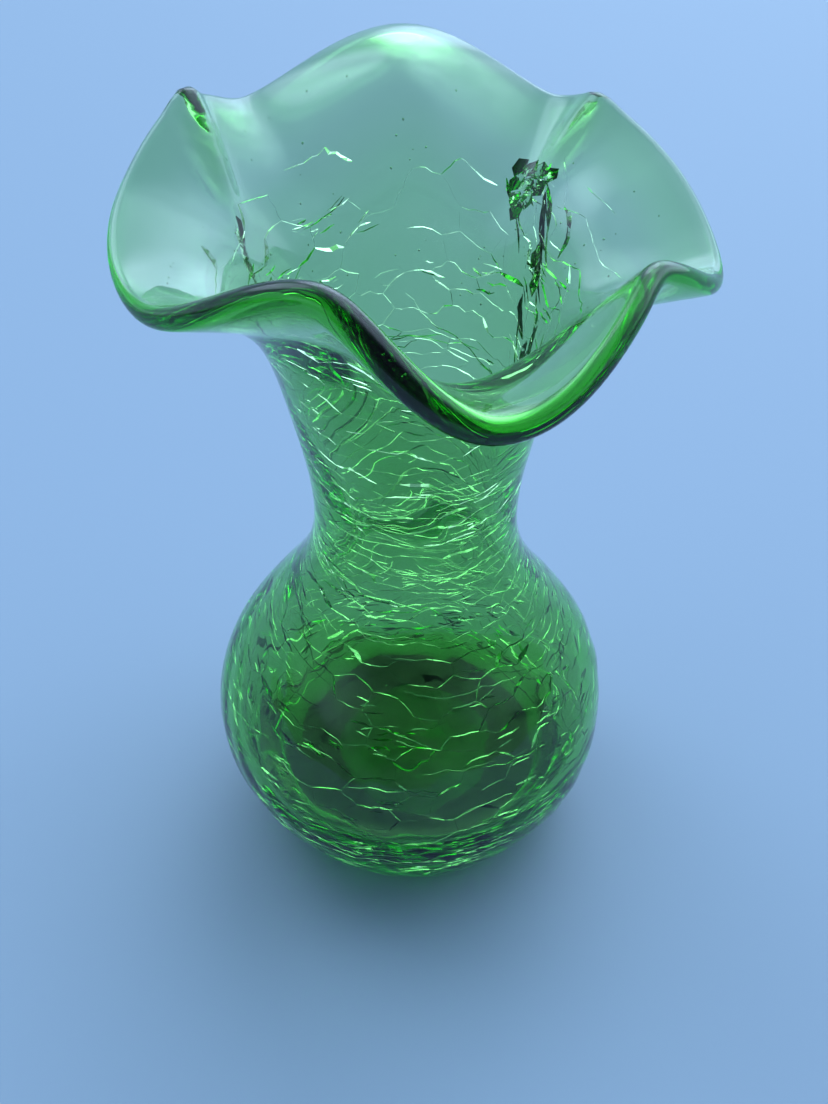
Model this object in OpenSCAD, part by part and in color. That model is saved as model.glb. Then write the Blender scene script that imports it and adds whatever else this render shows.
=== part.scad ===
// Hand-blown crackle glass vase: a squat bulb, a narrow neck and a flared mouth
// with a four-lobed crimped rim.
// Millimetres. +Z is up, and the origin is the centre of the foot at the level
// the vase stands on. -Y is the vase's front.

/* [Foot] */
// Radius of the flat ring that the vase stands on, at its outer edge
foot_r = 27; // [24:0.5:28]
// Radius of the dimple under the foot
dimple_r = 17; // [14:0.5:19]
// Depth of the dimple at its centre
dimple_h = 2; // [1.5:0.25:3]
// Thickness of the glass floor above the dimple
floor_t = 11.5; // [9:0.5:12.5]
// Radius of the pontil scar in the dimple
scar_r = 7; // [5:0.5:9]
// Thickness of the pontil scar
scar_t = 1; // [0.6:0.1:1.4]

/* [Bulb] */
// Radius of the bulb at its widest
belly_r = 38.8; // [36:0.2:41]
// Height of the widest part of the bulb
belly_z = 26.5; // [24:0.5:30]

/* [Neck] */
// Outer radius of the neck at its waist
waist_r = 18.1; // [16:0.1:20]
// Height of the neck's waist
waist_z = 76; // [72:0.5:80]
// Outer radius of the neck where the mouth starts to flare
collar_r = 21.4; // [20:0.1:23]
// Height at which the mouth starts to flare
collar_z = 100; // [97:0.5:103]

/* [Walls] */
// Thickness of the glass at the foot's edge
heel_t = 8; // [6:0.5:9]
// Thickness of the bulb's wall
bulb_t = 3.8; // [3:0.1:4.4]
// Thickness of the neck's wall
neck_t = 3.8; // [3:0.1:4.2]
// Thickness of the mouth's wall at the rim
rim_t = 2.4; // [2:0.1:2.6]
// Radius of the round bead along the rim
bead_r = 1.5; // [1.4:0.05:1.8]

/* [Rim: azimuth from +X, reach from the axis, height, lift of the wall] */
// Tip of the right lobe
right_lobe = [-6, 43.7, 122.5, 12]; // [-20:0.5:150]
// Back edge of the right lobe
right_edge = [24, 42.5, 129.8, 18]; // [10:0.5:150]
// Crimp at the back right
back_right_crimp = [44, 41.4, 133.8, 34]; // [20:0.5:150]
// Dip of the rim beside that crimp
back_right_dip = [58, 41, 132.8, 26]; // [20:0.5:150]
// Peak of the back lobe
back_lobe = [92, 42.2, 141.8, 0]; // [-10:0.5:150]
// Dip of the rim before the next crimp
back_left_dip = [130, 40.6, 133.8, 16]; // [10:0.5:150]
// Crimp at the back left
back_left_crimp = [150, 40.4, 137, 46]; // [30:0.5:160]
// Back edge of the left lobe
left_edge = [172, 42.8, 129, 18]; // [10:0.5:180]
// Tip of the left lobe
left_lobe = [206, 40.4, 124.6, 12]; // [-10:0.5:215]
// Crimp at the front left
front_left_crimp = [250, 34.8, 134.5, 58]; // [30:0.5:255]
// Tip of the front lobe
front_lobe = [284, 42.8, 121.8, 10]; // [-10:0.5:290]
// Crimp at the front right
front_right_crimp = [326, 38.6, 130.6, 48]; // [30:0.5:330]

/* [Hidden] */
$fn = 96;

glass_floor = [0.05, 0.42, 0.16, 0.8];
glass_bulb = [0.25, 0.58, 0.38, 0.6];
glass_neck = [0.22, 0.55, 0.35, 0.6];
glass_mouth = [0.45, 0.7, 0.68, 0.5];
glass_lip = [0.1, 0.48, 0.2, 0.8];

// The outline is three curves, end to end: heel, body and collar.
HEEL = [
    [foot_r, 0],
    [foot_r + 4, 2.5],
    [belly_r, belly_z - 11],
    [belly_r, belly_z]
];
BODY = [
    [belly_r, belly_z],
    [belly_r, belly_z + 20],
    [waist_r, waist_z - 22],
    [waist_r, waist_z]
];
COLLAR = [
    [waist_r, waist_z],
    [waist_r, waist_z + 9],
    [collar_r - 1.6, collar_z - 8],
    [collar_r, collar_z]
];
// Places along those curves where one zone of the glass meets the next.
base_top = 0.62;
bulb_top = 0.45;
shoulder_top = 0.78;
curve_steps = 12;

// The mouth is a grid of columns round the axis and rows up the wall.
columns = 120;
rows = 12;
bead_steps = 9;
// How far the wall keeps its first and its last direction, in spans.
rise = 0.55;
spread = 0.45;
probe_angle = 0.5;
probe_step = 0.005;

// ---- Curves ----

// Point at t along the cubic curve with the four control points c.
function cubic(c, t) =
    pow(1 - t, 3) * c[0]
    + 3 * pow(1 - t, 2) * t * c[1]
    + 3 * (1 - t) * t * t * c[2]
    + t * t * t * c[3];

// Direction of travel at t along the cubic curve c.
function cubic_slope(c, t) =
    pow(1 - t, 2) * (c[1] - c[0])
    + 2 * (1 - t) * t * (c[2] - c[1])
    + t * t * (c[3] - c[2]);

function unit(v) = v / norm(v);
function mix(a, b, t) = a + (b - a) * t;
function smooth(t) = t * t * (3 - 2 * t);

// Unit vector that points into the glass from the outline c at t.
function inward(c, t) =
    let (d = unit(cubic_slope(c, t)))
    [-d[1], d[0]];

// Points of the outside of the outline c from t = a to t = b.
function outside(c, a, b) = [
    for (i = [0 : curve_steps]) cubic(c, mix(a, b, i / curve_steps))
];

// Point of the inside wall that faces the outside at t, where the wall's
// thickness eases from t0 to t1 along the curve.
function inner_point(c, t, t0, t1) =
    cubic(c, t) + inward(c, t) * mix(t0, t1, smooth(t));

// Points of the inside of the outline c from t = b back to t = a.
function inside(c, a, b, t0, t1) = [
    for (i = [0 : curve_steps])
        inner_point(c, mix(b, a, i / curve_steps), t0, t1)
];

// Glass between the outside and the inside of the outline c, from t = a to b.
module band(c, a, b, t0, t1) {
    polygon(concat(outside(c, a, b), inside(c, a, b, t0, t1)));
}

// ---- Rim ----

RIM = [
    right_lobe, right_edge, back_right_crimp, back_right_dip,
    back_lobe, back_left_dip, back_left_crimp, left_edge,
    left_lobe, front_left_crimp, front_lobe, front_right_crimp
];
knots = len(RIM);
one_turn = [360, 0, 0, 0];

// Knot k of the rim, where k may run past either end of the list.
function knot(k) =
    RIM[(k + knots) % knots] + one_turn * floor(k / knots);

// Change of each quantity per degree of azimuth at knot k.
function knot_slope(k) =
    (knot(k + 1) - knot(k - 1)) / (knot(k + 1)[0] - knot(k - 1)[0]);

// The azimuth a, turned into the one turn that starts at the first knot.
function wrapped(a) = a - 360 * floor((a - RIM[0][0]) / 360);

function knot_before(a) = max([for (k = [0 : knots - 1]) if (RIM[k][0] <= a) k]);

// The rim's [azimuth, reach, height, lift] at azimuth a, along a smooth curve
// through the knots.
function rim_at(a) =
    let (
        b = wrapped(a),
        k = knot_before(b),
        gap = knot(k + 1)[0] - knot(k)[0]
    )
    cubic(
        [
            knot(k),
            knot(k) + knot_slope(k) * gap / 3,
            knot(k + 1) - knot_slope(k + 1) * gap / 3,
            knot(k + 1)
        ],
        (b - knot(k)[0]) / gap
    );

// ---- Mouth wall ----

collar_mid = cubic(COLLAR, 1) + inward(COLLAR, 1) * neck_t / 2;
collar_dir = unit(cubic_slope(COLLAR, 1));

// Control points, as [radius, height], of the middle of the wall at azimuth a.
function wall_curve(a) =
    let (
        rim = rim_at(a),
        tip = [rim[1], rim[2]],
        lift = rim[3],
        span = norm(tip - collar_mid)
    )
    [
        collar_mid,
        collar_mid + collar_dir * span * rise,
        tip - [cos(lift), sin(lift)] * span * spread,
        tip
    ];

// Point of the middle of the wall at azimuth a and at s up the wall.
function wall_point(a, s) =
    let (p = cubic(wall_curve(a), s))
    [p[0] * cos(a), p[0] * sin(a), p[1]];

function wall_up(a, s) =
    unit(wall_point(a, s + probe_step) - wall_point(a, s - probe_step));

// Unit vector square to the wall at that point, away from the axis.
function wall_out(a, s) =
    unit(cross(
        wall_point(a + probe_angle, s) - wall_point(a - probe_angle, s),
        wall_up(a, s)
    ));

// Point on the outer (side = 1) or inner (side = -1) face of the mouth's wall.
function face_point(a, s, side) =
    wall_point(a, s) + wall_out(a, s) * side * mix(neck_t, rim_t, s) / 2;

function column_az(i) = i * 360 / columns;

// A ring of points, closed round the axis, joined to the next ring by triangles.
function ring_faces(from, to) = [
    for (i = [0 : columns - 1])
        let (
            j = (i + 1) % columns,
            a = from * columns + i,
            b = from * columns + j,
            c = to * columns + j,
            d = to * columns + i
        )
        each [[a, c, b], [a, d, c]]
];

// A closed skin through a loop of rings.
module ring_skin(rings) {
    count = len(rings);
    polyhedron(
        points = [for (ring = rings) each ring],
        faces = [for (k = [0 : count - 1]) each ring_faces(k, (k + 1) % count)],
        convexity = 8
    );
}

function wall_ring(s, side) = [
    for (i = [0 : columns - 1]) face_point(column_az(i), s, side)
];

// The bead's section is a circle that the wall's end runs into.
bead_offset = sqrt(bead_r * bead_r - rim_t * rim_t / 4);
bead_gap = asin(rim_t / 2 / bead_r);

// Point of the bead at azimuth a, turned by turn degrees from the wall's end.
function bead_point(a, turn) =
    wall_point(a, 1)
    + wall_up(a, 1) * (bead_offset - bead_r * cos(turn))
    + wall_out(a, 1) * bead_r * sin(turn);

function bead_ring(turn) = [
    for (i = [0 : columns - 1]) bead_point(column_az(i), turn)
];

// ---- Zones of the glass, from the foot up ----

// Solid glass floor, with the dimple below and the hollow's bottom above.
module base() {
    seam_in = inner_point(HEEL, base_top, heel_t, bulb_t);
    floor_z = dimple_h + floor_t;
    bowl = [
        seam_in,
        seam_in - [0.8, (seam_in[1] - floor_z) * 0.8],
        [seam_in[0] * 0.8, floor_z],
        [0, floor_z]
    ];
    dimple = [
        [0, dimple_h],
        [dimple_r * 0.5, dimple_h],
        [dimple_r * 0.75, 0.4],
        [dimple_r, 0]
    ];
    color(glass_floor)
    rotate_extrude()
    polygon(concat(
        [for (i = [0 : curve_steps - 1]) cubic(dimple, i / curve_steps)],
        [[dimple_r, 0]],
        outside(HEEL, 0, base_top),
        [for (i = [0 : curve_steps]) cubic(bowl, i / curve_steps)]
    ));
}

// Wad of glass left under the foot by the pontil rod.
module pontil_scar() {
    color(glass_floor)
    rotate_extrude()
    intersection() {
        translate([0, dimple_h - scar_t])
        square([scar_r, scar_t]);
        polygon([
            [0, 0],
            [scar_r, 0],
            [scar_r, dimple_h - scar_t * 0.6],
            [0, dimple_h]
        ]);
    }
}

// Round body of the vase.
module bulb() {
    color(glass_bulb)
    rotate_extrude()
    polygon(concat(
        outside(HEEL, base_top, 1),
        outside(BODY, 0, bulb_top),
        inside(BODY, 0, bulb_top, bulb_t, neck_t),
        inside(HEEL, base_top, 1, heel_t, bulb_t)
    ));
}

// Waisted wall between the bulb and the neck.
module shoulder() {
    color(glass_neck)
    rotate_extrude()
    band(BODY, bulb_top, shoulder_top, bulb_t, neck_t);
}

// Narrow neck, up to where the mouth starts to flare.
module neck() {
    color(glass_neck)
    rotate_extrude()
    polygon(concat(
        outside(BODY, shoulder_top, 1),
        outside(COLLAR, 0, 1),
        inside(COLLAR, 0, 1, neck_t, neck_t),
        inside(BODY, shoulder_top, 1, bulb_t, neck_t)
    ));
}

// Flared wall that opens into four lobes with a crimp between each pair.
module mouth() {
    color(glass_mouth)
    ring_skin(concat(
        [for (k = [0 : rows]) wall_ring(k / rows, 1)],
        [for (k = [rows : -1 : 0]) wall_ring(k / rows, -1)]
    ));
}

// Round fire-polished bead along the edge of the mouth.
module lip() {
    color(glass_lip)
    ring_skin([
        for (k = [0 : bead_steps])
            bead_ring(mix(bead_gap, 360 - bead_gap, k / bead_steps))
    ]);
}

base();
pontil_scar();
bulb();
shoulder();
neck();
mouth();
lip();
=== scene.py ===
"""Hand-blown crackle glass vase with a four-lobed mouth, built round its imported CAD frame.

Shapes are worked out in millimetres and written to the meshes in metres. +Z is up and
-Y is the front, as in the frame. One closed glass skin stands for every zone of the vase,
and the cracks, bruises and seed bubbles are real hollows inside that glass.
"""

import math

import bpy
import numpy as np
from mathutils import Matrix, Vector
from mathutils.geometry import delaunay_2d_cdt


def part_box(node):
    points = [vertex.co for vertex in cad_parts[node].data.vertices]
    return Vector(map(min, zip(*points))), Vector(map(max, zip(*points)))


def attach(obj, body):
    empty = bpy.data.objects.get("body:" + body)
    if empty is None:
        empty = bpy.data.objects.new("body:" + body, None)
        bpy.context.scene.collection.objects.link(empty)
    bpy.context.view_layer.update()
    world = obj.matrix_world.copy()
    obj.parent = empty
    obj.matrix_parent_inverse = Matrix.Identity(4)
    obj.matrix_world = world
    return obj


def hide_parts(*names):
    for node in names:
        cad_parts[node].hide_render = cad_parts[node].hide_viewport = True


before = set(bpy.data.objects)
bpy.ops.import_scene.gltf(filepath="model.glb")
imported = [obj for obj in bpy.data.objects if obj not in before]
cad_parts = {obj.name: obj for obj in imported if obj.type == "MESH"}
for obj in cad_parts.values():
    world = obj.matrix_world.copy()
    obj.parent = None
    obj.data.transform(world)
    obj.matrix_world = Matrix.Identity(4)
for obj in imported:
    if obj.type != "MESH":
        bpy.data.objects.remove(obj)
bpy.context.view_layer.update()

MM = 0.001
TURN = 2 * math.pi
dice = np.random.default_rng(41)

# ---- Sizes, as in the CAD: radii, heights and thicknesses in millimetres ----

FOOT_R = 27.0
DIMPLE_R, DIMPLE_H = 17.0, 2.0
SCAR_R, SCAR_T = 7.0, 1.0
FLOOR_T = 11.5
BELLY_R, BELLY_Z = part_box("bulb")[1].x / MM, 26.5
WAIST_R, WAIST_Z = 18.1, 76.0
COLLAR_R, COLLAR_Z = 21.4, 100.0
HEEL_T, BULB_T, NECK_T, RIM_T = 8.0, 3.8, 3.8, 2.4
BEAD_R = 1.5
# Where the solid base ends, as a share of the wall's first curve.
BASE_TOP = 0.62
# How far the handles of the hollow's bottom curve and of the mouth's wall reach.
BOWL_IN, BOWL_DOWN, BOWL_FLAT = 0.8, 0.8, 0.8
RISE, SPREAD = 0.55, 0.45

# The outside from foot to belly, belly to waist and waist to collar, as cubic curves.
CURVES = np.array(
    [
        [[FOOT_R, 0], [FOOT_R + 4, 2.5], [BELLY_R, BELLY_Z - 11], [BELLY_R, BELLY_Z]],
        [[BELLY_R, BELLY_Z], [BELLY_R, BELLY_Z + 20], [WAIST_R, WAIST_Z - 22], [WAIST_R, WAIST_Z]],
        [[WAIST_R, WAIST_Z], [WAIST_R, WAIST_Z + 9], [COLLAR_R - 1.6, COLLAR_Z - 8], [COLLAR_R, COLLAR_Z]],
    ],
    float,
)
# The wall's place w counts the curves up from the foot: the mouth starts at MOUTH and the
# wall ends at LIP.
MOUTH = 3.0
LIP = 4.0

# The rim's azimuth in degrees, reach from the axis, height, and lift of the wall in degrees.
RIM = np.array(
    [
        [-6, 43.7, 122.5, 12],
        [24, 42.5, 129.8, 18],
        [44, 41.4, 133.8, 34],
        [58, 41, 132.8, 26],
        [92, 42.2, 141.8, 0],
        [130, 40.6, 133.8, 16],
        [150, 40.4, 137, 46],
        [172, 42.8, 129, 18],
        [206, 40.4, 124.6, 12],
        [250, 34.8, 134.5, 58],
        [284, 42.8, 121.8, 10],
        [326, 38.6, 130.6, 48],
    ],
    float,
)

# Thickness of the rim's rounded edge, in millimetres, by azimuth in degrees.
EDGE = np.array(
    [[0, 3.1], [24, 2.9], [44, 3.1], [60, 2.7], [92, 2.6], [130, 2.6], [150, 2.8], [172, 2.8], [206, 3.3],
     [232, 4.2], [250, 4.8], [268, 4.6], [284, 4.2], [306, 3.8], [326, 3.5], [345, 3.2], [360, 3.1]]
)
# The mouth's usual reach from the axis, and the thickness of its wall below the edge.
LOBE_R, LOBE_T = 41.0, 2.1
# How far the lip's bead reaches past the end of the wall, in the CAD.
EDGE_REACH = BEAD_R + math.sqrt(BEAD_R**2 - RIM_T**2 / 4)

# Folds where the rim was pinched: azimuth at the edge in degrees, how far it turns down the
# wall, width and depth in millimetres, rise of the edge, and the thickness of its rib.
PLEATS = [
    (150.0, 26.0, 2.4, 1.1, 1.0, 2.0),
    (43.0, 4.0, 3.0, 1.2, 0.5, 1.3),
    (326.0, 0.0, 5.0, 0.8, 0.0, 0.0),
]

# Which way a pleat pushes the wall: toward the axis and up.
PINCH_IN, PINCH_UP = 0.75, 0.66

# Points round each ring of the glass skin, and the step between rings in millimetres.
COLUMNS = 206
ROW_STEP = 1.22


# ---- Curves ----


def cubic(c, t):
    """Points at t on cubic curves; c holds the control points on its last axis but one."""
    t = np.asarray(t, float)[..., None]
    a, b, d, e = (c[..., k, :] for k in range(4))
    return (1 - t) ** 3 * a + 3 * (1 - t) ** 2 * t * b + 3 * (1 - t) * t * t * d + t**3 * e


def cubic_slope(c, t):
    t = np.asarray(t, float)[..., None]
    a, b, d, e = (c[..., k, :] for k in range(4))
    return (1 - t) ** 2 * (b - a) + 2 * (1 - t) * t * (d - b) + t * t * (e - d)


def unit(v):
    return v / np.linalg.norm(v, axis=-1, keepdims=True)


def mix(a, b, t):
    return a + (b - a) * t


def smooth(t):
    t = np.clip(t, 0, 1)
    return t * t * (3 - 2 * t)


def bump(x):
    return np.exp(-x * x)


def outline(w):
    """Radius and height of the outside at w, from 0 at the foot to 3 at the mouth."""
    i = np.clip(np.floor(w).astype(int), 0, 2)
    return cubic(CURVES[i], w - i)


def inward(w):
    """Unit vector, as radius and height, that points into the glass from the outside at w."""
    i = np.clip(np.floor(w).astype(int), 0, 2)
    d = unit(cubic_slope(CURVES[i], w - i))
    return np.stack([-d[..., 1], d[..., 0]], -1)


def thickness(w):
    """The wall's thickness at w, from the heel over the bulb to the neck."""
    return np.where(w < 1, mix(HEEL_T, BULB_T, smooth(w)), mix(BULB_T, NECK_T, smooth(w - 1)))


def rim_at(az):
    """The rim's reach, height and lift at azimuths in radians, smooth through the knots."""
    first = RIM[0, 0]
    a = first + (np.degrees(az) - first) % 360
    turn = np.array([360, 0, 0, 0])
    knots = np.vstack([RIM[-1] - turn, RIM, RIM[:2] + turn])
    slopes = (knots[2:] - knots[:-2]) / (knots[2:, :1] - knots[:-2, :1])
    k = np.clip(np.searchsorted(RIM[:, 0], a, side="right") - 1, 0, len(RIM) - 1)
    here, there = knots[k + 1], knots[k + 2]
    gap = (there[..., :1] - here[..., :1]) / 3
    after = slopes[(k + 1) % len(slopes)]
    c = np.stack([here, here + slopes[k] * gap, there - after * gap, there], -2)
    return cubic(c, (a - here[..., 0]) / (there[..., 0] - here[..., 0]))[..., 1:]


# Middle of the wall where the mouth starts, and its direction there.
COLLAR_MID = outline(np.array(MOUTH)) + inward(np.array(MOUTH)) * NECK_T / 2
COLLAR_DIR = unit(cubic_slope(CURVES[2], 1.0))


def smooth_wall(az, s):
    """Middle of the mouth's wall, without its pleats, at azimuth az and s up the wall."""
    az, s = np.broadcast_arrays(np.asarray(az, float), np.asarray(s, float))
    rim = rim_at(az)
    tip, lift = rim[..., :2], np.radians(rim[..., 2])
    span = np.linalg.norm(tip - COLLAR_MID, axis=-1, keepdims=True)
    c = np.stack(
        [
            np.broadcast_to(COLLAR_MID, tip.shape),
            COLLAR_MID + COLLAR_DIR * span * RISE,
            tip - np.stack([np.cos(lift), np.sin(lift)], -1) * span * SPREAD,
            tip,
        ],
        -2,
    )
    p = cubic(c, s)
    return np.stack([p[..., 0] * np.cos(az), p[..., 0] * np.sin(az), p[..., 1]], -1)


def pleat_offset(pleat, az, s):
    """Distance round the wall from the middle of a pleat, in millimetres."""
    middle = math.radians(pleat[0]) + math.radians(pleat[1]) * (1 - s)
    return ((az - middle + math.pi) % TURN - math.pi) * mix(COLLAR_R, LOBE_R, s)


def wall_point(az, s):
    """Middle of the mouth's wall at azimuth az and s up the wall, pinched in at the pleats."""
    p = smooth_wall(az, s)
    az, s = np.broadcast_arrays(np.asarray(az, float), np.asarray(s, float))
    into = np.stack([-np.cos(az) * PINCH_IN, -np.sin(az) * PINCH_IN, np.full_like(az, PINCH_UP)], -1)
    for pleat in PLEATS:
        _, _, width, depth, rise, _ = pleat
        shape = bump(pleat_offset(pleat, az, s) / width)
        push = depth * shape * smooth((s - 0.45) / 0.5)
        lift = rise * shape * smooth((s - 0.75) / 0.25)
        p = p + into * push[..., None] + lift[..., None] * np.array([0, 0, 1.0])
    return p


def edge_thickness(az):
    return np.interp(np.degrees(az) % 360, EDGE[:, 0], EDGE[:, 1])


def mouth_thickness(az, s):
    """Thickness of the mouth's wall: thin in the lobes, fuller at the edge and at the ribs."""
    thin = mix(NECK_T, LOBE_T, np.clip(s / 0.7, 0, 1) ** 1.6)
    plain = mix(thin, edge_thickness(az), smooth((s - 0.72) / 0.28))
    ribs = [p[5] * bump(pleat_offset(p, az, s) / (p[2] * 0.55)) for p in PLEATS if p[5] > 0]
    return plain + sum(ribs) * smooth((s - 0.66) / 0.16) * smooth((1.04 - s) / 0.16)


def wall_up(az, s):
    """Unit vector along the mouth's wall, toward its edge."""
    step = 0.005
    return unit(wall_point(az, s + step) - wall_point(az, s - step))


def wall_out(az, s):
    """Unit vector out of the outer face of the mouth's wall."""
    step = 0.01
    across = wall_point(az + step, s) - wall_point(az - step, s)
    return unit(np.cross(across, wall_up(az, s)))


# ---- The hand-made unevenness of the glass ----


def waves(count, longest, shortest, size, turns=(0, 7)):
    """Random waves round the axis and along the wall, each with its share of size."""
    turns = dice.integers(*turns, count)
    length = dice.uniform(shortest, longest, count)
    phase = dice.uniform(0, TURN, count)
    share = dice.uniform(0.4, 1.0, count)
    share *= size / np.sqrt((share**2).sum() / 2)
    return turns, TURN / length, phase, share


def wave_height(kind, az, along):
    turns, rate, phase, share = kind
    angle = az[..., None] * turns + along[..., None] * rate + phase
    return (np.cos(angle) * share).sum(-1)


# Slow waves in each face, and the small swellings between the cracks.
OUTER_WAVES = waves(18, 90, 24, 0.11)
INNER_WAVES = waves(22, 70, 16, 0.13)
CELL_WAVES = waves(40, 16, 7, 0.05, (6, 32))
CELLS_TO = 118.0


def lean(p):
    """The vase's lean: the bulb sits a little left of the axis and the neck a little right."""
    z = p[..., 2]
    shift = 0.8 * bump((z - 86) / 30) - 0.35 * bump((z - 26) / 18)
    return p + np.stack([shift, 0 * z, 0 * z], -1)


# Length of the outside, measured along the wall in millimetres, at each w up to the mouth,
# and the length that the mouth's wall counts for.
W_TABLE = np.linspace(0, MOUTH, 601)
STEP_TABLE = np.linalg.norm(np.diff(outline(W_TABLE), axis=0), axis=1)
ALONG_TABLE = np.concatenate([[0], np.cumsum(STEP_TABLE)])
MOUTH_LENGTH = 38.0


def along_of(w):
    return np.interp(w, W_TABLE, ALONG_TABLE) + np.clip(w - MOUTH, 0, 1) * MOUTH_LENGTH


def w_of(along):
    past = np.clip(along - ALONG_TABLE[-1], 0, None) / MOUTH_LENGTH
    return np.interp(along, ALONG_TABLE, W_TABLE) + past


def glass_face(az, w, outer):
    """Point and outward unit vector of the outer or inner face at azimuth az and place w."""
    az, w = np.broadcast_arrays(np.asarray(az, float), np.asarray(w, float))
    low = np.minimum(w, MOUTH)
    rz, into = outline(low), inward(low)
    round_az = np.stack([np.cos(az), np.sin(az)], -1)
    body_out = np.concatenate([round_az * -into[..., :1], -into[..., 1:]], -1)
    body = np.concatenate([round_az * rz[..., :1], rz[..., 1:]], -1)
    body = body - body_out * thickness(low)[..., None] * (0 if outer else 1)
    s = np.clip(w - MOUTH, 0, 1)
    out = wall_out(az, s)
    half = mouth_thickness(az, s)[..., None] / 2
    reach = (EDGE_REACH - edge_thickness(az) / 2) * smooth((s - 0.7) / 0.3)
    side = out * half * (1 if outer else -1)
    mouth = wall_point(az, s) + side + wall_up(az, s) * reach[..., None]
    high = (w > MOUTH)[..., None]
    point, out = np.where(high, mouth, body), np.where(high, out, body_out)
    kind = OUTER_WAVES if outer else INNER_WAVES
    along = along_of(w)
    height = wave_height(kind, az, along) * smooth(along / 12) * (1 - 0.6 * smooth(s))
    if outer:
        girth = np.minimum(np.hypot(point[..., 0], point[..., 1]) / BELLY_R, 1) ** 2
        cells = wave_height(CELL_WAVES, az, along) * girth
        height = height + cells * smooth(along / 10) * smooth((CELLS_TO - along) / 14)
    point = point + out * height[..., None]
    return lean(point), out


# ---- The glass skin ----


class Shell:
    """Collects points and faces, and makes one mesh object of them."""

    def __init__(self):
        self.points, self.faces, self.smooth, self.count = [], [], [], 0

    def add(self, points, faces, smooth=True):
        points = np.asarray(points, float).reshape(-1, 3)
        self.points.append(points)
        self.faces += [tuple(int(i) + self.count for i in face) for face in faces]
        self.smooth += [smooth] * len(faces)
        self.count += len(points)

    def build(self, name):
        mesh = bpy.data.meshes.new(name)
        mesh.from_pydata(np.vstack(self.points) * MM, [], self.faces)
        mesh.update()
        mesh.polygons.foreach_set("use_smooth", self.smooth)
        piece = bpy.data.objects.new(name, mesh)
        bpy.context.scene.collection.objects.link(piece)
        return piece


def ring_faces(rings, columns, first=0):
    """Quads that join each ring of points to the next."""
    faces = []
    for k in range(rings - 1):
        for i in range(columns):
            j = (i + 1) % columns
            a, b = first + k * columns, first + (k + 1) * columns
            faces.append((a + i, a + j, b + j, b + i))
    return faces


def spaced(start, end, step):
    count = max(2, int(math.ceil(abs(end - start) / step)) + 1)
    return np.linspace(start, end, count)


def revolved(profile, az):
    """Rings of points from a list of radius and height."""
    profile = np.asarray(profile, float)
    r, z = profile[:, :1], profile[:, 1:]
    x, y = r * np.cos(az), r * np.sin(az)
    return lean(np.stack([x, y, np.broadcast_to(z, x.shape)], -1))


def dimple_profile():
    c = np.array([[0, DIMPLE_H], [DIMPLE_R * 0.5, DIMPLE_H], [DIMPLE_R * 0.75, 0.4], [DIMPLE_R, 0]])
    return cubic(c, np.linspace(0, 1, 34)[1:])


def bowl_profile():
    """Bottom of the hollow, from its centre out to where the bulb's inside starts."""
    seam = np.array(BASE_TOP)
    top = outline(seam) + inward(seam) * thickness(seam)
    floor_z = DIMPLE_H + FLOOR_T
    down = top - [BOWL_IN, (top[1] - floor_z) * BOWL_DOWN]
    c = np.array([top, down, [top[0] * BOWL_FLAT, floor_z], [0, floor_z]])
    return cubic(c, np.linspace(1, 0, 26))[1:-1]


def scarred(ring):
    """Lowers the middle of the dimple by the broken glass that the pontil rod left."""
    r = np.hypot(ring[..., 0], ring[..., 1])
    az = np.arctan2(ring[..., 1], ring[..., 0])
    edge = SCAR_R * (0.86 + 0.1 * np.sin(az * 3 + 1) + 0.04 * np.sin(az * 7))
    plug = smooth((edge - r) / 1.1) * (0.45 + 0.4 * bump((r - edge + 1.2) / 0.9))
    chips = 0.12 * np.sin(az * 5 + r * 1.7) * np.sin(r * 2.3) * smooth((edge - r) / 1.5)
    ring[..., 2] -= SCAR_T * np.clip(plug + chips, 0, 0.95)
    return ring


def glass_rings(az):
    """Every ring of the glass skin, from under the foot, over the rim, to the inner floor."""
    rings = [scarred(revolved(dimple_profile(), az))]
    outer_w = w_of(spaced(0.6, ALONG_TABLE[-1] + MOUTH_LENGTH, ROW_STEP))
    rings.append(revolved(outline(np.array([0.0])), az))
    rings.append(glass_face(az, outer_w[:, None], True)[0])
    up = wall_up(az, 1.0)
    ends = [glass_face(az, LIP, outer)[0] for outer in (True, False)]
    middle, across = (ends[0] + ends[1]) / 2, (ends[0] - ends[1]) / 2
    half = np.linalg.norm(across, axis=-1, keepdims=True)
    for turn in np.linspace(0, math.pi, 13)[1:-1]:
        rings.append((middle + across * math.cos(turn) + up * half * math.sin(turn))[None])
    inner_start = along_of(np.array(BASE_TOP))
    inner_w = w_of(spaced(ALONG_TABLE[-1] + MOUTH_LENGTH, inner_start, ROW_STEP * 1.1))
    rings.append(glass_face(az, inner_w[:, None], False)[0])
    rings.append(revolved(bowl_profile()[::-1], az))
    return np.vstack(rings)


def add_skin(shell):
    """The closed skin: rings from the dimple to the hollow's floor, and a point at each end."""
    az = np.arange(COLUMNS) * TURN / COLUMNS
    rings = glass_rings(az)
    count = len(rings)
    shell.add(rings, ring_faces(count, COLUMNS))
    last = (count - 1) * COLUMNS
    poles = [rings[0].mean(0), rings[-1].mean(0)]
    poles[0][2] = rings[0][:, 2].min()
    shell.points.append(np.array(poles))
    low, high = shell.count, shell.count + 1
    shell.count += 2
    for i in range(COLUMNS):
        j = (i + 1) % COLUMNS
        shell.faces.append((low, j, i))
        shell.faces.append((high, last + i, last + j))
        shell.smooth += [True, True]


# ---- Cracks ----


def crack_size(along):
    """Size of the pieces between the cracks, and how much wider than tall they are."""
    size = np.interp(along, [0, 30, 62, 75, 112, 126, 150], [4.8, 6.4, 6.4, 5.2, 5.4, 8.5, 11])
    wide = np.interp(along, [0, 30, 60, 75, 112, 126, 150], [2.2, 1.5, 1.7, 3.0, 2.6, 1.3, 1.1])
    return size, wide


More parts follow.
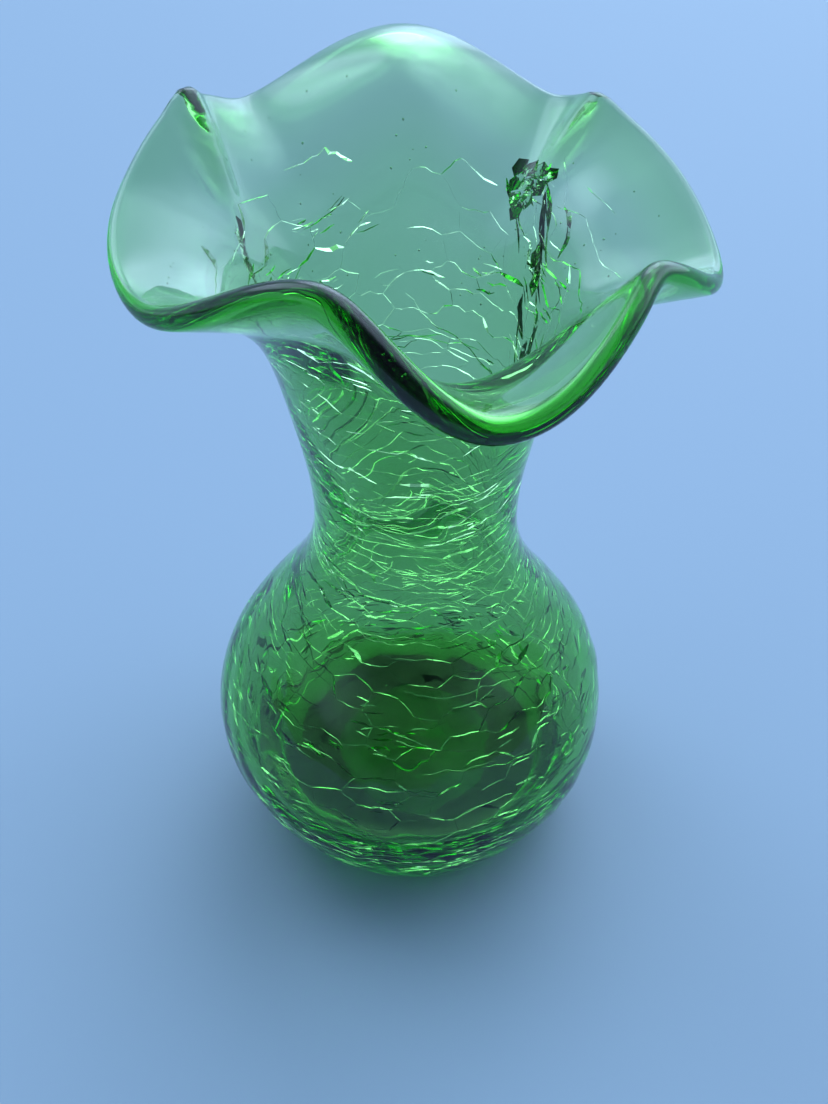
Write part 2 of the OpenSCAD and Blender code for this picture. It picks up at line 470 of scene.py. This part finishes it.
# The cracked stretch of the wall, in millimetres along it.
CRACKS_FROM, CRACKS_TO = 5.0, 140.0
# The azimuth at which a radius is taken for the whole turn.
PROBE = 0.6


def crack_map():
    """Tables of place along the wall and of the stretched height that keeps cells even."""
    along = np.linspace(CRACKS_FROM, CRACKS_TO, 700)
    w = w_of(along)
    reach = np.hypot(*wall_point(PROBE, np.clip(w - MOUTH, 0, 1)).T[:2])
    r = np.where(w < MOUTH, outline(np.minimum(w, MOUTH))[:, 0], reach)
    size, wide = crack_size(along)
    rate = wide / r
    height = np.concatenate([[0], np.cumsum((rate[1:] + rate[:-1]) / 2 * np.diff(along))])
    spacing = size * np.sqrt(wide) / r
    return along, height, spacing


def scatter_seeds(height, spacing):
    """Random points round the wall, none nearer its neighbours than the local spacing."""
    tries = 16000
    seeds = np.zeros((0, 2))
    for _ in range(tries):
        p = np.array([dice.uniform(0, TURN), dice.uniform(0, height[-1])])
        need = np.interp(p[1], height, spacing) * 0.8
        gap = np.abs(seeds - p)
        gap[:, 0] = np.minimum(gap[:, 0], TURN - gap[:, 0])
        if not len(seeds) or (np.hypot(gap[:, 0], gap[:, 1]) > need).all():
            seeds = np.vstack([seeds, p])
    return seeds


def crack_edges():
    """Lines of the crack network, as pairs of azimuth and place along the wall."""
    overlap, longest = 0.9, 1.2
    along, height, spacing = crack_map()
    seeds = scatter_seeds(height, spacing)
    copies = np.vstack([seeds, seeds + [TURN, 0], seeds - [TURN, 0]])
    near = copies[(copies[:, 0] > -overlap) & (copies[:, 0] < TURN + overlap)]
    result = delaunay_2d_cdt([Vector(p) for p in near], [], [], 0, 1e-6)
    points = np.array([list(v) for v in result[0]])
    middles, owners = [], {}
    for index, face in enumerate(result[2]):
        middles.append(points[list(face)].mean(0))
        for k in range(3):
            owners.setdefault(frozenset((face[k], face[(k + 1) % 3])), []).append(index)
    edges = []
    for pair in owners.values():
        if len(pair) == 2:
            a, b = middles[pair[0]], middles[pair[1]]
            middle = (a[0] + b[0]) / 2
            if 0 <= middle < TURN and np.hypot(*(a - b)) < longest:
                edges.append([[p[0], np.interp(p[1], height, along)] for p in (a, b)])
    return np.array(edges)


# How far the cracks lean out of square with the wall, from place to place.
TILT_WAVES = waves(16, 40, 9, 0.05)
# The glass over a crack, and how much less than squarely a level crack leans to catch light.
COVER, GLINT = 0.03, 0.03


def crack_sliver(shell, az, along, depth, gape, tilt):
    """A thin wedge of air just under the outer face, along a path, that runs into the glass."""
    point, out = glass_face(az, w_of(along), True)
    across = unit(np.cross(out, np.gradient(point, axis=0)))
    slope = out[:, 2]
    tilt = tilt + across[:, 2] * (slope / (1 + np.sqrt(1 - slope**2)) - GLINT)
    top = point - out * COVER
    side = across * gape[:, None]
    bottom = point - out * depth[:, None] + across * (tilt * depth)[:, None]
    rows = np.stack([top + side, bottom, top - side], 1)
    count = len(rows)
    faces = []
    for j in range(count - 1):
        for k in range(3):
            a, b = j * 3 + k, j * 3 + (k + 1) % 3
            faces.append((a, b, b + 3, a + 3))
    faces.append((0, 2, 1))
    end = (count - 1) * 3
    faces.append((end, end + 1, end + 2))
    shell.add(rows, faces, smooth=False)


def wander(count, size):
    """A random path that starts and ends at nothing."""
    steps = np.cumsum(dice.normal(0, 1, count))
    line = np.linspace(0, 1, count)
    path = steps - steps[0] - line * (steps[-1] - steps[0])
    return path * size / max(1e-9, np.abs(path).max())


def radius_at(along):
    w = w_of(np.asarray(along, float))
    p = glass_face(PROBE, w, True)[0]
    return np.hypot(p[..., 0], p[..., 1])


def add_crack(shell, a, b, deepest, widest):
    """One crack between two places, ragged, and shallow at its ends."""
    shortest, step = 0.7, 1.3
    if a[0] > b[0]:
        a, b = b, a
    r = float(radius_at((a[1] + b[1]) / 2))
    length = math.hypot((a[0] - b[0]) * r, a[1] - b[1])
    if length < shortest:
        return
    count = int(np.clip(length / step, 3, 20)) + 1
    line = np.linspace(0, 1, count)
    ragged = min(0.7, length * 0.045)
    az = mix(a[0], b[0], line) + wander(count, ragged) / r
    along = mix(a[1], b[1], line) + wander(count, ragged)
    along = np.clip(along, CRACKS_FROM - 1, CRACKS_TO + 2)
    inset = np.minimum(line, 1 - line)
    depth = deepest * np.minimum(1, 0.4 + 3 * inset) * dice.uniform(0.75, 1.15, count)
    gape = widest * np.minimum(1, 0.15 + 6 * inset) * dice.uniform(0.6, 1.1, count)
    spread = np.interp(a[1], [0, 58, 75, 112], [0.13, 0.13, 0.07, 0.1])
    tilt = wave_height(TILT_WAVES, az, along) + dice.normal(0, spread)
    crack_sliver(shell, az, along, depth, gape, tilt)


def crack_depth():
    """Most cracks are shallow and show as fine lines; a few run deep into the wall."""
    return dice.uniform(0.9, 1.9) if dice.random() < 0.1 else dice.uniform(0.18, 0.62)


def add_network(shell):
    """The net of cracks that divides the wall into small pieces; fewer of its steep ones open."""
    for a, b in crack_edges():
        place = (a[1] + b[1]) / 2
        fade = smooth((CRACKS_TO - place) / 14)
        steep = abs(a[1] - b[1]) > 0.8 * abs(a[0] - b[0]) * float(radius_at(place))
        if dice.random() > (0.65 if steep else 0.92) * fade + 0.02:
            continue
        add_crack(shell, a, b, crack_depth(), dice.uniform(0.01, 0.03))


def add_sweeps(shell, count, low, high, longest):
    """Long fine cracks that run nearly level round the vase and cross the network."""
    for _ in range(count):
        place = dice.uniform(low, high)
        az = dice.uniform(0, TURN)
        half = dice.uniform(0.3, 0.5) * longest
        slope = dice.normal(0, 0.22)
        reach = half * math.cos(slope) / float(radius_at(place))
        rise = half * math.sin(slope)
        add_crack(shell, [az - reach, place - rise], [az + reach, place + rise],
                  dice.uniform(0.15, 0.5), dice.uniform(0.01, 0.025))


def add_splinters(shell, count, low, high, deepest):
    """Short cracks round the vase in small stacks, which catch the light."""
    for _ in range(count):
        place = dice.uniform(low, high)
        az = dice.uniform(0, TURN)
        r = float(radius_at(place))
        for _ in range(int(dice.integers(1, 4))):
            half = dice.uniform(0.8, 2.4) / r
            rise = dice.normal(0, 0.3)
            a, b = [az - half, place - rise], [az + half, place + rise]
            add_crack(shell, a, b, deepest * dice.uniform(0.3, 1), dice.uniform(0.012, 0.03))
            place += dice.uniform(0.5, 1.1)
            az += dice.normal(0, 1.2) / r


def add_flake(shell, az, along, size, tilt, depth):
    """A thin lens of air in the wall, with a ragged outline, tilted out of the wall's plane."""
    count = 5
    turn = dice.uniform(0, 1.2) + np.arange(count) * TURN / count
    reach = dice.uniform(0.8, 1.15, count)
    x, y = size[0] * reach * np.cos(turn), size[1] * reach * np.sin(turn)
    r = float(radius_at(along))
    wall = float(mouth_thickness(az, float(np.clip(w_of(along) - MOUTH, 0, 1))))
    rings = []
    for share, bulge in ((1, 0), (0.55, -0.03), (0.0, -0.045), (0.55, 0.03), (0.0, 0.045)):
        point, out = glass_face(az + x * share / r, w_of(along + y * share), True)
        deep = depth + (x * tilt[0] + y * tilt[1]) * share + bulge
        rings.append(point - out * np.clip(deep, 0.1, wall - 0.3)[:, None])
    edge, near, near_mid, far, far_mid = rings
    points = np.vstack([edge, near, far, near_mid[:1], far_mid[:1]])
    faces = []
    for i in range(count):
        j = (i + 1) % count
        faces += [(i, count + i, count + j, j), (count + i, 3 * count, count + j)]
        a, b = 2 * count + i, 2 * count + j
        faces += [(i, j, b, a), (a, b, 3 * count + 1)]
    shell.add(points, faces, smooth=False)


# Where the wall is shattered: a line in degrees of azimuth and millimetres along the wall, its
# half-width in millimetres, and its count of long cracks.
SHATTERED = [
    ([(55, 136), (44, 129), (34, 121), (20, 114), (10, 107)], 5.6, 44),
    ([(158, 134), (168, 128), (178, 120), (184, 114)], 3.0, 9),
]

# The bruise at the top of the shattered line: rows of flakes, each with its place along the
# wall and the azimuths of its flakes in degrees; and two lone flakes below it.
BRUISE = [
    (135.6, (54.5, 50.6, 46.6, 42.8)),
    (132.6, (53.2, 49.2, 45.2)),
    (129.8, (51.0, 47.0)),
    (127.4, (48.8,)),
    (121.8, (31.5,)),
    (118.6, (27.0,)),
]
FLAKE_DEPTH = 1.1


def add_long_crack(shell, line, half_width):
    """One crack that follows part of a line down the wall, somewhere beside it."""
    count = 9
    places = np.linspace(0, 1, len(line))
    start = dice.uniform(0, 0.86)
    end = min(1, start + dice.uniform(0.08, 0.34))
    r = float(radius_at(np.interp(start, places, line[:, 1])))
    side = dice.normal(0, half_width * 0.55)
    bow = dice.normal(0, 1.1)
    steps = np.linspace(start, end, count)
    share = np.linspace(0, 1, count)
    bent = side + bow * np.sin(share * math.pi) + wander(count, 0.25)
    az = np.radians(np.interp(steps, places, line[:, 0])) + bent * 0.8 / r
    along = np.interp(steps, places, line[:, 1]) - bent * 0.6
    swell = np.minimum(1, 0.25 + 3 * np.minimum(share, 1 - share))
    depth = dice.uniform(0.3, 1.3) * swell
    gape = dice.uniform(0.01, 0.03) * swell
    tilt = dice.normal(0, 0.4) + wander(count, 0.1)
    crack_sliver(shell, az, along, depth, gape, tilt)


def add_shattered(shell):
    """The shattered lines down the mouth's wall, and the bruise of flakes at the top of one."""
    for line, half_width, count in SHATTERED:
        for _ in range(count):
            add_long_crack(shell, np.array(line, float), half_width)
    for along, row in BRUISE:
        for degrees in row:
            size = dice.uniform((1.7, 1.8), (2.0, 2.2))
            tilt = dice.uniform((-0.7, -0.3), (-0.45, 0.2))
            add_flake(shell, math.radians(degrees), along, size, tilt, FLAKE_DEPTH)


def inverted_ball():
    """A small ball of unit radius, faced inward as a hollow's surface is."""
    sides = 6
    points = [(0, 0, 1)]
    for latitude, shift in ((55, 0), (10, 0.5), (-35, 0)):
        for k in range(sides):
            a, b = math.radians(latitude), TURN * (k + shift) / sides
            points.append((math.cos(a) * math.cos(b), math.cos(a) * math.sin(b), math.sin(a)))
    points.append((0, 0, -1))
    faces = []
    last, lowest = len(points) - 1, len(points) - 1 - sides
    for k in range(sides):
        m = (k + 1) % sides
        faces += [(0, 1 + m, 1 + k), (last, lowest + k, lowest + m)]
        for low in (1, 1 + sides):
            faces.append((low + k, low + m, low + sides + m, low + sides + k))
    return np.array(points), faces


def add_bubbles(shell, count):
    """Seed bubbles: small round hollows inside the wall, most of them in the lobes."""
    ball, faces = inverted_ball()
    for _ in range(count):
        along = dice.choice([dice.uniform(112, 144), dice.uniform(10, 112)], p=[0.7, 0.3])
        az = dice.uniform(0, TURN)
        point, out = glass_face(az, w_of(np.array(along)), True)
        size = dice.uniform(0.06, 0.2)
        stretch = np.array([1, 1, dice.uniform(1, 1.5)])
        shell.add(point - out * dice.uniform(0.5, 1.6) + ball * size * stretch, faces)


# Each kind of crack has its count and its stretch of the wall, in millimetres along it.
glass = Shell()
add_skin(glass)
add_network(glass)
add_sweeps(glass, 120, 56, 108, 24)
add_sweeps(glass, 90, 8, 58, 15)
add_splinters(glass, 130, 6, 26, 1.3)
add_splinters(glass, 130, 24, 58, 0.9)
add_splinters(glass, 50, 62, 108, 0.7)
add_splinters(glass, 55, 109, 127, 0.8)
add_shattered(glass)
add_bubbles(glass, 240)
add_splinters(glass, 70, 7, 24, 1.2)
add_sweeps(glass, 24, 66, 100, 18)
vase = glass.build("vase_glass")
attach(vase, "root")
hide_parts("base", "pontil_scar", "bulb", "shoulder", "neck", "mouth", "lip")


# ---- Materials ----


def new_material(name):
    material = bpy.data.materials.new(name)
    material.use_nodes = True
    tree = material.node_tree
    shader = next(n for n in tree.nodes if n.type == "BSDF_PRINCIPLED")
    return material, tree, shader


def glass_material():
    material, tree, shader = new_material("green_glass")
    shader.inputs["Base Color"].default_value = (0.77, 0.79, 0.77, 1)
    shader.inputs["Transmission Weight"].default_value = 1.0
    shader.inputs["IOR"].default_value = 1.5
    shader.inputs["Roughness"].default_value = 0.01
    absorb = tree.nodes.new("ShaderNodeVolumeAbsorption")
    absorb.inputs["Color"].default_value = (0.22, 0.89, 0.05, 1)
    absorb.inputs["Density"].default_value = 214.0
    out = next(n for n in tree.nodes if n.type == "OUTPUT_MATERIAL")
    tree.links.new(absorb.outputs["Volume"], out.inputs["Volume"])
    return material


def floor_material():
    material, tree, shader = new_material("floor_paint")
    noise = tree.nodes.new("ShaderNodeTexNoise")
    noise.inputs["Scale"].default_value = 14.0
    noise.inputs["Detail"].default_value = 5.0
    ramp = tree.nodes.new("ShaderNodeValToRGB")
    ramp.color_ramp.elements[0].color = (0.285, 0.375, 0.47, 1)
    ramp.color_ramp.elements[1].color = (0.32, 0.42, 0.52, 1)
    tree.links.new(noise.outputs["Fac"], ramp.inputs["Fac"])
    tree.links.new(ramp.outputs["Color"], shader.inputs["Base Color"])
    shader.inputs["Roughness"].default_value = 0.65
    return material


vase.data.materials.append(glass_material())


# ---- Floor, light and camera ----


FLOOR_R = 12.0

# Soft patches of the sky: the way to each, its colour, and the cosines of the angles from
# that way at which it has faded out and at which it is full.
SKY = [
    ((0, 0.25, 0.97), (0.62, 0.9, 1.36), (0.0, 0.3)),
    ((0.55, 0.6, 0.58), (1.85, 2.35, 3.05), (0.6, 0.98)),
    ((0, 0, -1), (0.2, 0.46, 0.44), (-0.6, -0.05)),
    ((-0.5, 0.45, 0.74), (2.2, 2.8, 3.6), (0.92, 0.985)),
    ((0.1, 0.85, 0.52), (1.8, 2.3, 3.0), (0.94, 0.985)),
]
# The sky over the viewer: the way to it, the share of light it keeps, and its two cosines.
SHADE = ((0, -0.64, 0.77), (0.14, 0.14, 0.14), (0.6, 0.95))
# Thin and thick cloud: place on the noise, and the share of the sky's light there.
THIN_CLOUD = (0.36, (0.7, 0.72, 0.74, 1))
THICK_CLOUD = (0.64, (1.32, 1.3, 1.28, 1))
SKY_STRENGTH = 0.73

# The camera's place in metres, its tilt down from level in degrees, and its lens in millimetres.
CAMERA_AT = (0.0004, -0.1579, 0.2065)
CAMERA_DOWN = 42.18
CAMERA_LENS = 37.5


def add_floor():
    mesh = bpy.data.meshes.new("floor")
    corners = 96
    turns = [TURN * i / corners for i in range(corners)]
    rim = [(FLOOR_R * math.cos(a), FLOOR_R * math.sin(a), 0) for a in turns]
    mesh.from_pydata(rim, [], [tuple(range(corners))])
    floor = bpy.data.objects.new("floor", mesh)
    floor.data.materials.append(floor_material())
    bpy.context.scene.collection.objects.link(floor)


def sky_patch(tree, direction, toward, color, edge, away=(0, 0, 0)):
    """A soft patch of the sky: a colour that turns into another away from its direction."""
    dot = tree.nodes.new("ShaderNodeVectorMath")
    dot.operation = "DOT_PRODUCT"
    dot.inputs[1].default_value = Vector(toward).normalized()
    tree.links.new(direction, dot.inputs[0])
    # A ramp takes 0 to 1, so the cosine is halved and raised.
    half = tree.nodes.new("ShaderNodeMath")
    half.operation = "MULTIPLY_ADD"
    half.inputs[1].default_value = 0.5
    half.inputs[2].default_value = 0.5
    tree.links.new(dot.outputs["Value"], half.inputs[0])
    ramp = tree.nodes.new("ShaderNodeValToRGB")
    ramp.color_ramp.interpolation = "EASE"
    stops = ramp.color_ramp.elements
    stops[0].position, stops[0].color = (edge[0] + 1) / 2, (*away, 1)
    stops[1].position, stops[1].color = (edge[1] + 1) / 2, (*color, 1)
    tree.links.new(half.outputs["Value"], ramp.inputs["Fac"])
    return ramp.outputs["Color"]


def sky_clouds(tree, direction):
    """Soft clouds, as the share of light that each part of the sky keeps."""
    noise = tree.nodes.new("ShaderNodeTexNoise")
    noise.inputs["Scale"].default_value = 2.2
    noise.inputs["Detail"].default_value = 3.0
    tree.links.new(direction, noise.inputs["Vector"])
    cloud = tree.nodes.new("ShaderNodeValToRGB")
    for stop, (place, color) in zip(cloud.color_ramp.elements, (THIN_CLOUD, THICK_CLOUD)):
        stop.position, stop.color = place, color
    tree.links.new(noise.outputs["Fac"], cloud.inputs["Fac"])
    return cloud.outputs["Color"]


def blended(tree, kind, first, second):
    """Two colours added or multiplied."""
    node = tree.nodes.new("ShaderNodeMix")
    node.data_type = "RGBA"
    node.blend_type = kind
    node.inputs["Factor"].default_value = 1.0
    sockets = [socket for socket in node.inputs if socket.type == "RGBA"]
    tree.links.new(first, sockets[0])
    tree.links.new(second, sockets[1])
    return next(socket for socket in node.outputs if socket.type == "RGBA")


def add_world():
    world = bpy.data.worlds.new("studio")
    world.use_nodes = True
    tree = world.node_tree
    back = next(n for n in tree.nodes if n.type == "BACKGROUND")
    direction = tree.nodes.new("ShaderNodeTexCoord").outputs["Generated"]
    patches = [sky_patch(tree, direction, *patch) for patch in SKY]
    total = patches[0]
    for patch in patches[1:]:
        total = blended(tree, "ADD", total, patch)
    total = blended(tree, "MULTIPLY", total, sky_patch(tree, direction, *SHADE, (1, 1, 1)))
    total = blended(tree, "MULTIPLY", total, sky_clouds(tree, direction))
    tree.links.new(total, back.inputs["Color"])
    back.inputs["Strength"].default_value = SKY_STRENGTH
    bpy.context.scene.world = world


def add_camera():
    data = bpy.data.cameras.new("camera")
    data.sensor_width = 36.0
    data.lens = CAMERA_LENS
    data.clip_start = 0.01
    camera = bpy.data.objects.new("camera", data)
    camera.location = CAMERA_AT
    camera.rotation_euler = (math.radians(90 - CAMERA_DOWN), 0, 0)
    bpy.context.scene.collection.objects.link(camera)
    bpy.context.scene.camera = camera


add_floor()
add_world()
add_camera()

scene = bpy.context.scene
scene.view_settings.view_transform = "Standard"
# Light turns many times inside thick cracked glass before it leaves.
BOUNCES = 96
scene.cycles.max_bounces = BOUNCES
scene.cycles.transmission_bounces = BOUNCES
scene.cycles.glossy_bounces = BOUNCES
scene.cycles.transparent_max_bounces = 8
scene.cycles.use_denoising = True
